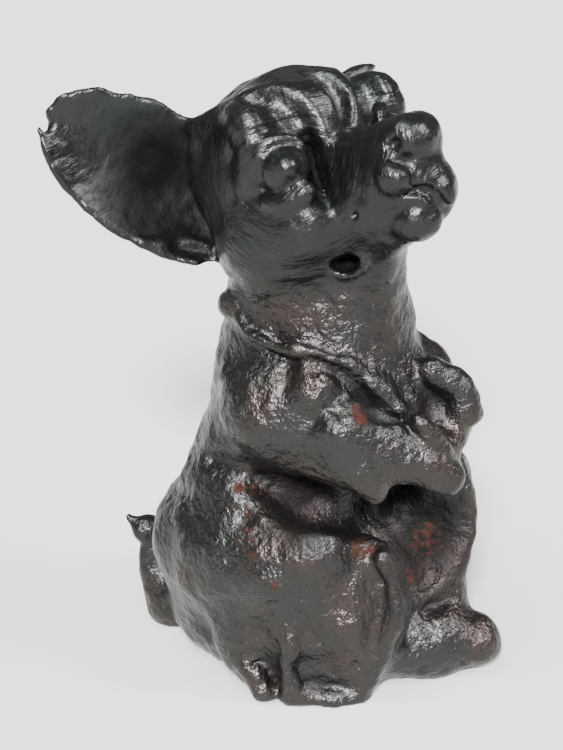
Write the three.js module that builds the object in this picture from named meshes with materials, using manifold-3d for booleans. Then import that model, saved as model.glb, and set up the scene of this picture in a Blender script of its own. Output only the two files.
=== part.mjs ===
// A chihuahua that sits upright with its forepaws together: one hand-modelled solid of fired clay.
// The clay is laid on in lumps. Balls, ropes and cupped leaves melt into each other by a soft union,
// and furrows and hollows are pressed in. The surface is then taken off a grid of distances, thinned
// to few faces, and cut flat underneath, where the figure stands.
import * as THREE from 'three';
import { mergeVertices } from 'three/addons/utils/BufferGeometryUtils.js';
import Module from 'manifold-3d';

const wasm = await Module();
wasm.setup();

// Driving sizes in millimetres.
const HEIGHT = 250;
const EAR_WALL = 7.6;
const RIM_WIDTH = 8.4;
const COLLAR_ROLL = 9;

// The pose and the carving are set out in parts. The figure stands this many parts tall.
const PARTS_TALL = 25;
const PART = HEIGHT / PARTS_TALL;

// How finely the clay is measured, in parts, how often its skin is evened out, and how many faces
// are left after thinning.
const CELL = 0.22;
const SMOOTHING = 4;
const FACES = 9600;

// Half of each driving size above, in parts.
const earHalf = EAR_WALL / 2 / PART;
const rim = RIM_WIDTH / 2 / PART;
const roll = COLLAR_ROLL / 2 / PART;

// The dog looks along -Y and its left side is +X. The head is turned to its right and lifted.
const HEAD_TURN = THREE.MathUtils.degToRad(10);
const HEAD_LIFT = THREE.MathUtils.degToRad(34);
const BETWEEN_EYES = [-0.25, -1.54, 22.75];
const FLANK_TURN = THREE.MathUtils.degToRad(55);

const ahead = new THREE.Vector3(-Math.sin(HEAD_TURN), -Math.cos(HEAD_TURN), 0);
const upward = new THREE.Vector3(0, 0, 1);
const headForward = ahead.clone().multiplyScalar(Math.cos(HEAD_LIFT))
  .addScaledVector(upward, Math.sin(HEAD_LIFT));
const headUp = ahead.clone().multiplyScalar(-Math.sin(HEAD_LIFT))
  .addScaledVector(upward, Math.cos(HEAD_LIFT));
const headLeft = new THREE.Vector3(Math.cos(HEAD_TURN), -Math.sin(HEAD_TURN), 0);
const HEAD_AXES = [headForward, headLeft, headUp].map((axis) => axis.toArray());
const LEVEL_AXES = [[1, 0, 0], [0, 1, 0], [0, 0, 1]];

// A point of the head: parts forward, to the dog's left, and up from between the eyes.
function onHead(forward, left, up) {
  return BETWEEN_EYES.map((value, i) =>
    value + forward * HEAD_AXES[0][i] + left * HEAD_AXES[1][i] + up * HEAD_AXES[2][i]);
}

// The same with a radius behind it, for the rows of a rope.
function headRow(forward, left, up, radius) {
  return [...onHead(forward, left, up), radius];
}

// Axes that lie along the right flank, dipping forward by a tilt in degrees.
function flankAxes(tilt) {
  const angle = THREE.MathUtils.degToRad(tilt);
  const along = [Math.cos(FLANK_TURN), -Math.sin(FLANK_TURN)];
  const out = [-Math.sin(FLANK_TURN), -Math.cos(FLANK_TURN), 0];
  return [
    [Math.cos(angle) * along[0], Math.cos(angle) * along[1], Math.sin(angle)],
    out,
    [-Math.sin(angle) * along[0], -Math.sin(angle) * along[1], Math.cos(angle)],
  ];
}

// An egg: radii along its own three axes.
function ball(centre, radii, axes = LEVEL_AXES) {
  const reach = Math.max(...radii);
  return {
    low: centre.map((value) => value - reach),
    high: centre.map((value) => value + reach),
    distance(x, y, z) {
      const dx = x - centre[0];
      const dy = y - centre[1];
      const dz = z - centre[2];
      let near = 0;
      let slope = 0;
      for (let i = 0; i < 3; i += 1) {
        const q = (dx * axes[i][0] + dy * axes[i][1] + dz * axes[i][2]) / radii[i];
        near += q * q;
        slope += (q / radii[i]) ** 2;
      }
      const size = Math.sqrt(near);
      return size * (size - 1) / (Math.sqrt(slope) + 1e-6);
    },
  };
}

// A rope of clay through rows of x, y, z and radius, rounded at both ends.
function rope(rows, stepsPerRow = 5) {
  const middle = new THREE.CatmullRomCurve3(
    rows.map((row) => new THREE.Vector3(row[0], row[1], row[2])), false, 'catmullrom', 0.5);
  const girth = new THREE.CatmullRomCurve3(
    rows.map((row) => new THREE.Vector3(row[3], 0, 0)), false, 'catmullrom', 0.5);
  const steps = (rows.length - 1) * stepsPerRow;
  const centres = middle.getPoints(steps);
  const radii = girth.getPoints(steps).map((point) => point.x);
  const reach = Math.max(...radii);
  const box = new THREE.Box3().setFromPoints(centres).expandByScalar(reach);
  return {
    low: box.min.toArray(),
    high: box.max.toArray(),
    distance(x, y, z) {
      let best = Infinity;
      for (let i = 0; i < steps; i += 1) {
        const a = centres[i];
        const b = centres[i + 1];
        const ux = b.x - a.x;
        const uy = b.y - a.y;
        const uz = b.z - a.z;
        const px = x - a.x;
        const py = y - a.y;
        const pz = z - a.z;
        const along = (px * ux + py * uy + pz * uz) / (ux * ux + uy * uy + uz * uz);
        const t = Math.min(1, Math.max(0, along));
        const gap = Math.hypot(px - t * ux, py - t * uy, pz - t * uz);
        best = Math.min(best, gap - radii[i] - t * (radii[i + 1] - radii[i]));
      }
      return best;
    },
  };
}

// An ear: a leaf from its root to its tip, cupped away from the side that it opens to.
function ear(root, tip, opens, halfWidth, cup) {
  const base = new THREE.Vector3(...root);
  const along = new THREE.Vector3(...tip).sub(base);
  const length = along.length();
  along.normalize();
  const facing = new THREE.Vector3(...opens);
  facing.addScaledVector(along, -facing.dot(along)).normalize();
  const across = new THREE.Vector3().crossVectors(facing, along);
  const reach = length / 2 + halfWidth;
  const centre = base.clone().addScaledVector(along, length / 2);
  const widest = 0.36;
  const spread = 0.665;
  const sunk = 0.25;
  return {
    low: centre.clone().subScalar(reach).toArray(),
    high: centre.clone().addScalar(reach).toArray(),
    distance(x, y, z) {
      const p = new THREE.Vector3(x, y, z).sub(base);
      const s = p.dot(along) / length;
      const t = p.dot(across);
      const n = p.dot(facing);
      const held = Math.min(1, Math.max(-sunk, s));
      const half = halfWidth * Math.sqrt(Math.max(0.003, 1 - ((held - widest) / spread) ** 2));
      const flatter = Math.min(1, Math.max(0, 1 - held * 0.8));
      const depth = cup * (1 - (t / Math.max(half, 0.3)) ** 2) * flatter;
      const wall = earHalf * (1 - 0.35 * Math.min(1, Math.max(0, s)));
      const sheet = Math.abs(n + depth) - wall;
      const edge = Math.max(Math.abs(t) - half, (s - 1) * length, (-sunk - s) * length);
      return 0.8 * softMax(edge, sheet, 0.5);
    },
  };
}

// The lower of two distances, rounded where they meet within a blend, and likewise the higher.
function softMin(a, b, blend) {
  const h = Math.max(blend - Math.abs(a - b), 0) / blend;
  return Math.min(a, b) - h * h * blend / 4;
}

function softMax(a, b, blend) {
  return -softMin(-a, -b, blend);
}

// A block of space, sampled in cells, that holds the distance to the clay.
class Clay {
  constructor(low, high) {
    this.low = low;
    this.count = high.map((value, i) => Math.ceil((value - low[i]) / CELL) + 1);
    this.value = new Float32Array(this.count[0] * this.count[1] * this.count[2]).fill(3);
  }

  // Changes every sample within reach of a lump.
  visit(lump, reach, change) {
    const from = lump.low.map((value, i) =>
      Math.max(0, Math.floor((value - reach - this.low[i]) / CELL)));
    const to = lump.high.map((value, i) =>
      Math.min(this.count[i] - 1, Math.ceil((value + reach - this.low[i]) / CELL)));
    for (let i = from[0]; i <= to[0]; i += 1) {
      for (let j = from[1]; j <= to[1]; j += 1) {
        let at = (i * this.count[1] + j) * this.count[2] + from[2];
        for (let k = from[2]; k <= to[2]; k += 1) {
          const gap = lump.distance(
            this.low[0] + i * CELL, this.low[1] + j * CELL, this.low[2] + k * CELL);
          this.value[at] = change(this.value[at], gap);
          at += 1;
        }
      }
    }
  }

  add(lump, blend) {
    this.visit(lump, 1.6 + blend, (held, gap) => softMin(held, gap, blend));
  }

  press(lump, blend) {
    this.visit(lump, 0.6 + blend, (held, gap) => softMax(held, -gap, blend));
  }
}

// Seat, trunk and chest.
function layTrunk(clay) {
  clay.add(rope([[-0.3, 1.6, 4.2, 4.7], [-0.3, 1.4, 7.6, 3.8], [-0.1, 0.7, 10.6, 3.5],
    [0.1, 0.3, 13.4, 3.6], [0.3, 0.1, 16.4, 3.1]]), 0.5);
  clay.add(ball([0.3, -1.9, 13.6], [2.8, 2.3, 3.9]), 1.2);
  clay.add(ball([-0.4, 1.0, 1.4], [4.0, 5.0, 2.2]), 1.2);
  clay.add(ball([0.9, -2.2, 3.2], [3.2, 2.7, 3.0]), 0.8);
}

// The right hind leg is folded: hip to knee, a broad shin plate with a thin rim, and the heel.
function layRightHindLeg(clay) {
  clay.add(rope([[-2.2, 3.2, 5.0, 2.7], [-2.9, 1.2, 5.4, 2.8], [-3.1, -0.9, 5.8, 2.5],
    [-3.3, -2.3, 6.6, 1.6]]), 0.8);
  clay.add(ball([-2.9, -3.0, 3.9], [2.8, 1.2, 3.7], flankAxes(-8)), 0.9);
  clay.add(ball([-2.0, -3.3, 3.0], [1.5, 1.9, 2.9]), 0.9);
  clay.add(ball([-3.6, -0.8, 2.2], [2.6, 1.3, 2.4], flankAxes(0)), 0.9);
  clay.add(rope([[-2.6, -4.6, 6.7, rim], [-2.3, -5.1, 5.4, rim], [-2.2, -5.2, 3.6, rim],
    [-2.2, -4.7, 1.8, rim], [-2.2, -4.1, 0.3, rim]]), 0.5);
  clay.add(rope([[-4.2, -1.6, 4.2, rim], [-4.4, -1.9, 2.4, rim], [-4.3, -1.2, 0.4, 1.3 * rim]]), 0.5);
}

// The left hind leg stands open: hip to knee, shin, the rim of its hollow side, and a stout foot.
function layLeftHindLeg(clay) {
  clay.add(rope([[2.0, 2.8, 5.0, 2.6], [3.0, 0.3, 5.8, 2.2], [3.3, -2.4, 7.0, 1.7],
    [3.1, -4.3, 8.0, 1.1]]), 0.8);
  clay.add(rope([[3.0, -4.4, 7.8, 1.0], [3.0, -4.8, 5.0, 1.1], [2.5, -5.2, 2.4, 1.4]]), 0.9);
  clay.add(ball([2.7, -3.0, 5.0], [1.2, 2.6, 3.2]), 0.7);
  clay.add(rope([[2.9, -5.3, 8.8, rim], [3.1, -5.8, 7.0, rim], [2.9, -5.9, 5.0, rim],
    [2.2, -5.6, 3.9, rim], [1.1, -5.1, 3.3, rim], [-0.2, -4.6, 3.2, rim]]), 0.5);
  clay.add(rope([[-0.4, -4.0, 1.4, 1.5], [1.1, -5.6, 1.5, 1.5], [2.2, -6.6, 1.45, 1.4]]), 0.8);
}

// A curled stub that stands up against the seat.
function layTail(clay) {
  clay.add(rope([[-1.8, 6.0, 0.7, 1.0], [-1.8, 6.7, 2.2, 0.85], [-1.8, 7.0, 3.6, 0.75],
    [-2.0, 7.5, 4.5, 0.4]]), 0.3);
}

// Upper arms, forearms and paws that meet before the chest, and the hollow under the right arm.
function layForelegs(clay) {
  clay.add(ball([-1.9, -1.4, 11.8], [3.7, 2.4, 2.5], flankAxes(-12)), 0.7);
  clay.add(rope([[-1.9, -3.4, 11.2, 1.9], [-1.0, -5.0, 10.6, 1.4], [0.0, -5.9, 10.1, 1.05],
    [0.4, -6.5, 9.6, 0.7]]), 0.7);
  clay.add(rope([[1.8, -1.2, 13, 2.0], [2.6, -3.3, 12.4, 1.5], [2.6, -4.6, 11.5, 1.3],
    [1.7, -5.4, 10.7, 1.1], [0.6, -5.8, 10.6, 1.0]]), 0.7);
  clay.add(ball([0.6, -3.6, 12.0], [1.9, 1.6, 2.4]), 0.8);
  clay.press(rope([[-4.4, 0.9, 9.6, 0.5], [-4.2, -1.2, 8.9, 0.8], [-2.8, -3.6, 8.6, 0.8],
    [-0.8, -5, 8.4, 0.9]]), 0.5);
}

// A roll of skin round the neck, and the crease that runs on from it between chest and arm.
function layCollar(clay) {
  clay.add(rope([[3.2, -1.6, 15.1, 0.8 * roll], [3.5, 0.2, 15.2, roll], [2.8, 2.1, 15.9, roll],
    [0.3, 3.3, 16.4, 1.2 * roll], [-2.1, 2.3, 15.9, 1.2 * roll], [-3.1, 0.3, 15.2, roll],
    [-3.1, -1.5, 15.2, 0.9 * roll], [-2.5, -2.9, 15.1, 0.8 * roll],
    [-1.5, -3.9, 14.1, 0.7 * roll]]), 0.6);
  clay.press(rope([[-2.9, -2.7, 14.7, 0.2], [-2.4, -3.6, 14.4, 0.25], [-1.9, -4.3, 13.6, 0.35],
    [-1.7, -5.0, 12.8, 0.45], [-1.4, -5.2, 12.3, 0.4]]), 0.3);
}

// Neck, throat and skull.
function layNeckAndSkull(clay) {
  clay.add(rope([[0.3, 0.1, 16.5, 3.0], headRow(-3.4, 0, -1.5, 3.2)]), 0.8);
  clay.add(rope([[0.5, -1.6, 16.0, 2.1], headRow(-0.6, 0.2, -3.6, 1.5)]), 0.8);
  clay.add(ball(onHead(-3.5, 0.1, 0.1), [3.6, 3.8, 3.8], HEAD_AXES), 0.8);
  clay.add(ball(onHead(-3.6, -0.3, -2.4), [3.2, 3.7, 2.7], HEAD_AXES), 0.8);
}

// On each side of the face: brow, cheek, the ridge beside the middle furrow, eyeball and lower lid.
function layFaceSide(clay, side) {
  clay.add(rope([headRow(-2.4, 2.3 * side, 2.5, 1.1), headRow(-1.4, 2.8 * side, 1.9, 1.0),
    headRow(-1.1, 3.1 * side, 1.0, 0.85), headRow(-1.5, 3.4 * side, 0.1, 0.6)]), 0.9);
  clay.add(ball(onHead(-1.8, 2.2 * side, -2.2), [2.0, 1.4, 1.7], HEAD_AXES), 0.9);
  clay.add(rope([headRow(-1.2, 1.9 * side, 2.9, 0.5), headRow(-0.5, 1.4 * side, 2.2, 0.6),
    headRow(-0.2, 1.1 * side, 1.2, 0.55), headRow(0, 0.9 * side, 0.4, 0.4)]), 0.7);
  clay.add(ball(onHead(-0.5, 2.75 * side, -0.35), [0.95, 0.85, 0.9], HEAD_AXES), 0.2);
  clay.add(ball(onHead(-0.4, 2.75 * side, -1.4), [0.8, 0.7, 0.55], HEAD_AXES), 0.45);
}

// The deep muzzle with a flat bridge, block of a nose, whisker pad, heavy front lip and lower jaw.
function layMuzzle(clay) {
  clay.add(rope([headRow(-0.4, 0.1, -1.9, 2.0), headRow(2.6, 0.1, -2.1, 1.5)]), 0.6);
  clay.add(ball(onHead(0.6, 0, -2.9), [2.2, 1.7, 1.7], HEAD_AXES), 0.6);
  for (const side of [-1, 1]) {
    clay.add(rope([headRow(0.2, 0.5 * side, -0.7, 0.6), headRow(3.5, 0.45 * side, -1.0, 0.6)]), 0.5);
  }
  clay.add(ball(onHead(3.1, 0.4, -2.7), [1.3, 1.3, 1.25], HEAD_AXES), 0.5);
  clay.add(ball(onHead(3.2, -1.25, -2.5), [0.75, 0.6, 0.65], HEAD_AXES), 0.35);
  clay.add(ball(onHead(3.5, -0.1, -1.2), [0.95, 1.05, 0.75], HEAD_AXES), 0.35);
  clay.add(rope([headRow(-1.5, 0, -3.2, 1.7), headRow(2.3, 0.1, -3.9, 1.0)]), 0.4);
}

// The furrows of the forehead, the sockets inside the eyes and the mouth.
function pressFurrows(clay) {
  for (const side of [-1, 1]) {
    clay.press(rope([headRow(-0.7, 2.7 * side, 3.2, 0.25), headRow(0.1, 2.2 * side, 2.3, 0.4),
      headRow(0.4, 1.85 * side, 1.5, 0.45), headRow(0.6, 1.65 * side, 0.6, 0.45),
      headRow(0.6, 1.65 * side, -0.3, 0.45), headRow(0.7, 1.85 * side, -1.2, 0.42),
      headRow(0.7, 2.0 * side, -2.0, 0.25)]), 0.5);
  }
  clay.press(rope([headRow(-0.4, 0.1, 3.3, 0.2), headRow(0.15, 0.35, 2.5, 0.35),
    headRow(0.35, 0.4, 1.7, 0.4), headRow(0.3, 0.2, 0.9, 0.3)]), 0.45);
  clay.press(rope([headRow(2.9, -1.4, -3.4, 0.15), headRow(3.6, -0.7, -3.5, 0.2),
    headRow(4.1, 0.3, -3.6, 0.25), headRow(4.0, 1.3, -3.6, 0.2)]), 0.25);
}

function layEars(clay) {
  clay.add(ear(onHead(-5.3, -2.8, -0.3), onHead(-6.2, -7.7, 5.4), [-0.5, -0.8, 0.1], 2.7, 1.1), 0.5);
  clay.add(ear(onHead(-5.2, 2.6, 0.4), onHead(-5.8, 7.4, 3.2), [0.5, -0.8, 0.1], 2.4, 1.1), 0.5);
}

// Takes the surface off the clay. Each cell is split into six tetrahedra round its long diagonal,
// and each tetrahedron that the surface crosses gives one or two triangles, so the skin is closed.
function skin(clay) {
  const [nx, ny, nz] = clay.count;
  const step = [ny * nz, nz, 1];
  const points = [];
  const faces = [];
  const known = new Map();
  const total = clay.value.length;

  function place(index) {
    const i = Math.floor(index / step[0]);
    const j = Math.floor((index - i * step[0]) / step[1]);
    return [i, j, index - i * step[0] - j * step[1]];
  }

  // The point where the surface crosses between an inner and an outer sample.
  function crossing(inner, outer) {
    const key = Math.min(inner, outer) * total + Math.max(inner, outer);
    if (!known.has(key)) {
      const share = clay.value[inner] / (clay.value[inner] - clay.value[outer]);
      const t = Math.min(0.9, Math.max(0.1, share));
      const a = place(inner);
      const b = place(outer);
      known.set(key, points.length / 3);
      for (let i = 0; i < 3; i += 1) {
        points.push(clay.low[i] + CELL * (a[i] + t * (b[i] - a[i])));
      }
    }
    return known.get(key);
  }

  const orders = [[0, 1, 2], [1, 2, 0], [2, 0, 1], [0, 2, 1], [2, 1, 0], [1, 0, 2]];

  function tetrahedron(corners, mirrored) {
    const inner = corners.filter((corner) => clay.value[corner] < 0);
    if (inner.length === 0 || inner.length === 4) return;
    const outer = corners.filter((corner) => clay.value[corner] >= 0);
    // The permutation that brings the inner corners first may turn the tetrahedron over.
    const order = [...inner, ...outer].map((corner) => corners.indexOf(corner));
    let swaps = 0;
    for (let i = 0; i < 4; i += 1) {
      for (let j = i + 1; j < 4; j += 1) swaps += order[i] > order[j] ? 1 : 0;
    }
    const flip = (swaps % 2 === 1) !== mirrored;
    const loop = [];
    if (inner.length === 1) {
      for (const out of outer) loop.push(crossing(inner[0], out));
    } else if (inner.length === 3) {
      for (const core of inner) loop.push(crossing(core, outer[0]));
    } else {
      loop.push(crossing(inner[0], outer[0]), crossing(inner[0], outer[1]),
        crossing(inner[1], outer[1]), crossing(inner[1], outer[0]));
    }
    if (flip) loop.reverse();
    for (let i = 1; i + 1 < loop.length; i += 1) faces.push(loop[0], loop[i], loop[i + 1]);
  }

  for (let i = 0; i + 1 < nx; i += 1) {
    for (let j = 0; j + 1 < ny; j += 1) {
      for (let k = 0; k + 1 < nz; k += 1) {
        const corner = i * step[0] + j * step[1] + k;
        const far = corner + step[0] + step[1] + step[2];
        if (Math.abs(clay.value[corner]) > 2.5 * CELL) continue;
        orders.forEach((order, n) => {
          const second = corner + step[order[0]];
          tetrahedron([corner, second, second + step[order[1]], far], n > 2);
        });
      }
    }
  }
  return { points, faces };
}

// Evens the skin out. Each corner goes towards the middle of its neighbours and then a little
// further back again, so that the steps of the grid go and the form keeps its size.
function relax({ points, faces }, rounds) {
  const count = points.length / 3;
  for (let n = 0; n < 2 * rounds; n += 1) {
    const share = n % 2 === 0 ? 0.5 : -0.52;
    const sum = new Float64Array(3 * count);
    const met = new Float64Array(count);
    for (let f = 0; f < faces.length; f += 3) {
      for (let i = 0; i < 3; i += 1) {
        const a = faces[f + i];
        const b = faces[f + (i + 1) % 3];
        met[a] += 1;
        for (let k = 0; k < 3; k += 1) sum[3 * a + k] += points[3 * b + k];
      }
    }
    for (let i = 0; i < points.length; i += 1) {
      points[i] += share * (sum[i] / met[Math.floor(i / 3)] - points[i]);
    }
  }
  return { points, faces };
}

// Thins the skin by folding edges away, the cheapest first. The cost of a fold is how far the merged
// corner moves from the planes of the faces round it. A fold that would pinch the skin or turn a face
// over is left out.
function thin({ points, faces }, target) {
  const count = points.length / 3;
  const at = Float64Array.from(points);
  const face = Int32Array.from(faces);
  const alive = new Uint8Array(face.length / 3).fill(1);
  const round = Array.from({ length: count }, () => []);
  const form = new Float64Array(count * 10);
  const stamp = new Int32Array(count);
  let left = alive.length;

  function normalOf(a, b, c) {
    const ux = at[3 * b] - at[3 * a];
    const uy = at[3 * b + 1] - at[3 * a + 1];
    const uz = at[3 * b + 2] - at[3 * a + 2];
    const vx = at[3 * c] - at[3 * a];
    const vy = at[3 * c + 1] - at[3 * a + 1];
    const vz = at[3 * c + 2] - at[3 * a + 2];
    return [uy * vz - uz * vy, uz * vx - ux * vz, ux * vy - uy * vx];
  }

  for (let f = 0; f < alive.length; f += 1) {
    const [a, b, c] = [face[3 * f], face[3 * f + 1], face[3 * f + 2]];
    const n = normalOf(a, b, c);
    const area = Math.hypot(...n) || 1e-12;
    const p = n.map((value) => value / area);
    p.push(-(p[0] * at[3 * a] + p[1] * at[3 * a + 1] + p[2] * at[3 * a + 2]));
    for (const corner of [a, b, c]) {
      round[corner].push(f);
      let slot = corner * 10;
      for (let i = 0; i < 4; i += 1) {
        for (let j = i; j < 4; j += 1) {
          form[slot] += area * p[i] * p[j];
          slot += 1;
        }
      }
    }
  }

  function cost(q, x, y, z) {
    return q[0] * x * x + 2 * q[1] * x * y + 2 * q[2] * x * z + 2 * q[3] * x
      + q[4] * y * y + 2 * q[5] * y * z + 2 * q[6] * y + q[7] * z * z + 2 * q[8] * z + q[9];
  }

  // The best place for the merged corner: where the planes agree, or else the middle or an end.
  function plan(a, b) {
    const q = new Float64Array(10);
    for (let i = 0; i < 10; i += 1) q[i] = form[10 * a + i] + form[10 * b + i];
    const spots = [0, 0.5, 1].map((t) =>
      [0, 1, 2].map((i) => at[3 * a + i] * (1 - t) + at[3 * b + i] * t));
    const solve = new THREE.Matrix3().set(q[0], q[1], q[2], q[1], q[4], q[5], q[2], q[5], q[7]);
    const size = q[0] + q[4] + q[7];
    if (Math.abs(solve.determinant()) > 1e-3 * size ** 3 / 27) {
      const best = new THREE.Vector3(-q[3], -q[6], -q[8]).applyMatrix3(solve.invert());
      const middle = new THREE.Vector3(...spots[1]);
      const edge = new THREE.Vector3(...spots[0]).distanceTo(new THREE.Vector3(...spots[2]));
      if (best.distanceTo(middle) < 2 * edge) spots.push(best.toArray());
    }
    let found = { price: Infinity, spot: spots[1] };
    for (const spot of spots) {
      const price = cost(q, ...spot);
      if (price < found.price) found = { price, spot };
    }
    return found;
  }

  // A heap of folds, the cheapest on top.
  const heap = [];
  function push(fold) {
    let i = heap.push(fold) - 1;
    while (i > 0) {
      const up = (i - 1) >> 1;
      if (heap[up].price <= fold.price) break;
      heap[i] = heap[up];
      i = up;
    }
    heap[i] = fold;
  }
  function pop() {
    const top = heap[0];
    const last = heap.pop();
    if (heap.length === 0) return top;
    let i = 0;
    for (;;) {
      let low = 2 * i + 1;
      if (low >= heap.length) break;
      if (low + 1 < heap.length && heap[low + 1].price < heap[low].price) low += 1;
      if (heap[low].price >= last.price) break;
      heap[i] = heap[low];
      i = low;
    }
    heap[i] = last;
    return top;
  }
  function offer(a, b) {
    const { price, spot } = plan(a, b);
    push({ price, spot, a, b, age: stamp[a] + stamp[b] });
  }

  function neighbours(corner) {
    const found = new Set();
    for (const f of round[corner]) {
      for (let i = 0; i < 3; i += 1) found.add(face[3 * f + i]);
    }
    found.delete(corner);
    return found;
  }

  // Whether moving a corner to a spot keeps each of its faces, but for shared ones, turned outward.
  function staysUp(corner, other, spot) {
    const old = [at[3 * corner], at[3 * corner + 1], at[3 * corner + 2]];
    for (const f of round[corner]) {
      const c = [face[3 * f], face[3 * f + 1], face[3 * f + 2]];
      if (c.includes(other)) continue;
      const before = normalOf(...c);
      at.set(spot, 3 * corner);
      const after = normalOf(...c);
      at.set(old, 3 * corner);
      const turn = before[0] * after[0] + before[1] * after[1] + before[2] * after[2];
      if (turn < 0.3 * Math.hypot(...before) * Math.hypot(...after)) return false;
    }
    return true;
  }

  for (let a = 0; a < count; a += 1) {
    for (const b of neighbours(a)) if (a < b) offer(a, b);
  }
  while (left > target && heap.length > 0) {
    const { a, b, spot, age } = pop();
    if (round[a].length === 0 || round[b].length === 0 || age !== stamp[a] + stamp[b]) continue;
    const shared = round[a].filter((f) => round[b].includes(f));
    const beside = neighbours(a);
    const common = [...neighbours(b)].filter((corner) => beside.has(corner));
    if (shared.length !== 2 || common.length !== 2) continue;
    if (!staysUp(a, b, spot) || !staysUp(b, a, spot)) continue;
    at.set(spot, 3 * a);
    for (let i = 0; i < 10; i += 1) form[10 * a + i] += form[10 * b + i];
    for (const f of shared) {
      alive[f] = 0;
      left -= 1;
      for (let i = 0; i < 3; i += 1) {
        const corner = face[3 * f + i];
        round[corner] = round[corner].filter((other) => other !== f);
      }
    }
    for (const f of round[b]) {
      for (let i = 0; i < 3; i += 1) if (face[3 * f + i] === b) face[3 * f + i] = a;
      round[a].push(f);
    }
    round[b] = [];
    stamp[a] += stamp[b] + 1;
    for (const corner of neighbours(a)) offer(a, corner);
  }

  const kept = [];
  for (let f = 0; f < alive.length; f += 1) {
    if (alive[f]) kept.push(face[3 * f], face[3 * f + 1], face[3 * f + 2]);
  }
  return { points: Array.from(at), faces: kept };
}

// A closed geometry as a solid for cutting, and back again.
function toSolid(geometry) {
  const bare = geometry.clone();
  bare.deleteAttribute('normal');
  bare.deleteAttribute('uv');
  const merged = mergeVertices(bare);
  return new wasm.Manifold(new wasm.Mesh({
    numProp: 3,
    vertProperties: merged.attributes.position.array,
    triVerts: Uint32Array.from(merged.index.array),
  }));
}

function toGeometry(solid) {
  const mesh = solid.getMesh();
  const geometry = new THREE.BufferGeometry();
  geometry.setAttribute('position', new THREE.BufferAttribute(mesh.vertProperties, 3));
  geometry.setIndex(new THREE.BufferAttribute(mesh.triVerts, 1));
  geometry.computeVertexNormals();
  return geometry;
}

// Model the figure in parts, then bring it to size.
const clay = new Clay([-8.5, -9.2, -1.4], [9.5, 10, 27]);
layTrunk(clay);
layRightHindLeg(clay);
layLeftHindLeg(clay);
layTail(clay);
layForelegs(clay);
layCollar(clay);
layNeckAndSkull(clay);
layFaceSide(clay, -1);
layFaceSide(clay, 1);
layMuzzle(clay);
pressFurrows(clay);
layEars(clay);

const { points, faces } = thin(relax(skin(clay), SMOOTHING), FACES);

// Corners that lie almost on the floor are moved off it, so that the cut leaves no slivers.
const CLEAR = 0.02;
const placed = points.map((value, n) => {
  const nearFloor = n % 3 === 2 && Math.abs(value) < CLEAR;
  return PART * (nearFloor ? CLEAR : value);
});
const raw = new THREE.BufferGeometry();
raw.setAttribute('position', new THREE.Float32BufferAttribute(placed, 3));
raw.setIndex(faces);

// Everything below the floor is cut away, which leaves the flat underside.
const BELOW = 4 * PART;
const floor = new THREE.BoxGeometry(4 * HEIGHT, 4 * HEIGHT, BELOW);
floor.translate(0, 0, -BELOW / 2);
const body = toGeometry(toSolid(raw).subtract(toSolid(floor)));

// The origin is under the middle of the figure's box.
body.computeBoundingBox();
const centre = body.boundingBox.getCenter(new THREE.Vector3());
body.translate(-centre.x, -centre.y, 0);

const firedClay = new THREE.MeshStandardMaterial({ color: 0x3e3b38, roughness: 0.45, metalness: 0.35 });
const chihuahua = new THREE.Mesh(body, firedClay);
chihuahua.name = 'chihuahua_figure';

const figure = new THREE.Group();
figure.add(chihuahua);

export default figure;
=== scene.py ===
# %% [markdown]
# A chihuahua in fired clay
#
# The figure is about 25 cm tall. Someone modelled it by hand in coarse clay, fired it, and rubbed a
# dark, graphite-like coat over it. Fingers, tools and time have all left marks, and here and there
# the red clay shows again. This lesson builds that one piece: first its form, then the marks in the
# clay, then the worn coat, and at the end the floor, the lights and the camera.
#
# Everything is worked out with numpy as whole arrays. Lengths of the figure are given in parts of
# one centimetre, a handy unit at the bench.

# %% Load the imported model
import math

import bpy
import numpy as np
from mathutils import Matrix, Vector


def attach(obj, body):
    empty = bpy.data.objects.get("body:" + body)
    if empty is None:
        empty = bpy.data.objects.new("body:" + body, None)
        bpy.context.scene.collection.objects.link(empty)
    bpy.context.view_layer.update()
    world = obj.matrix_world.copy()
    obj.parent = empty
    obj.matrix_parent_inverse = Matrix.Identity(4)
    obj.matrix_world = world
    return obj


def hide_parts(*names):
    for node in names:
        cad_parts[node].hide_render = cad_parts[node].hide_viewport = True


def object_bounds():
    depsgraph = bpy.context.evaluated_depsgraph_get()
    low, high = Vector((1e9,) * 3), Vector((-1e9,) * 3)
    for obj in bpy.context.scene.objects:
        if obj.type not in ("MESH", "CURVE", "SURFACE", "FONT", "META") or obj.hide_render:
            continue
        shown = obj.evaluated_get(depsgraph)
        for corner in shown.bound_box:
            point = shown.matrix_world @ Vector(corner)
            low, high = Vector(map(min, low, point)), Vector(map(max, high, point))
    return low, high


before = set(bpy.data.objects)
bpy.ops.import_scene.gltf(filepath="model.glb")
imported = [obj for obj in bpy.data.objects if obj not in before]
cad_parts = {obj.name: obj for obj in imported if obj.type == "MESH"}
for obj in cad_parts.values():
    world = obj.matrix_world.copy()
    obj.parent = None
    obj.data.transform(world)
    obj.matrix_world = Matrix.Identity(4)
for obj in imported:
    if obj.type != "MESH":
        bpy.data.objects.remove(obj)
cad_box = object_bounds()
PART = 0.01
print("box of the solid in metres:", [[round(v, 4) for v in corner] for corner in cad_box])

# %% [markdown]
# Directions of the head
#
# The dog looks along -Y and its left side is +X. The real head is turned about ten degrees to the
# dog's right and lifted by about 34. It is easiest to model a face in its own
# frame, so points of the face are given as parts forward, to the dog's left, and up from between
# the eyes.

# %% Frames to model in
HEAD_TURN = math.radians(10)
HEAD_LIFT = math.radians(34)
BETWEEN_EYES = np.array([-0.25, -1.54, 22.75])
FLANK_TURN = math.radians(55)
LEVEL = np.eye(3)


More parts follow.
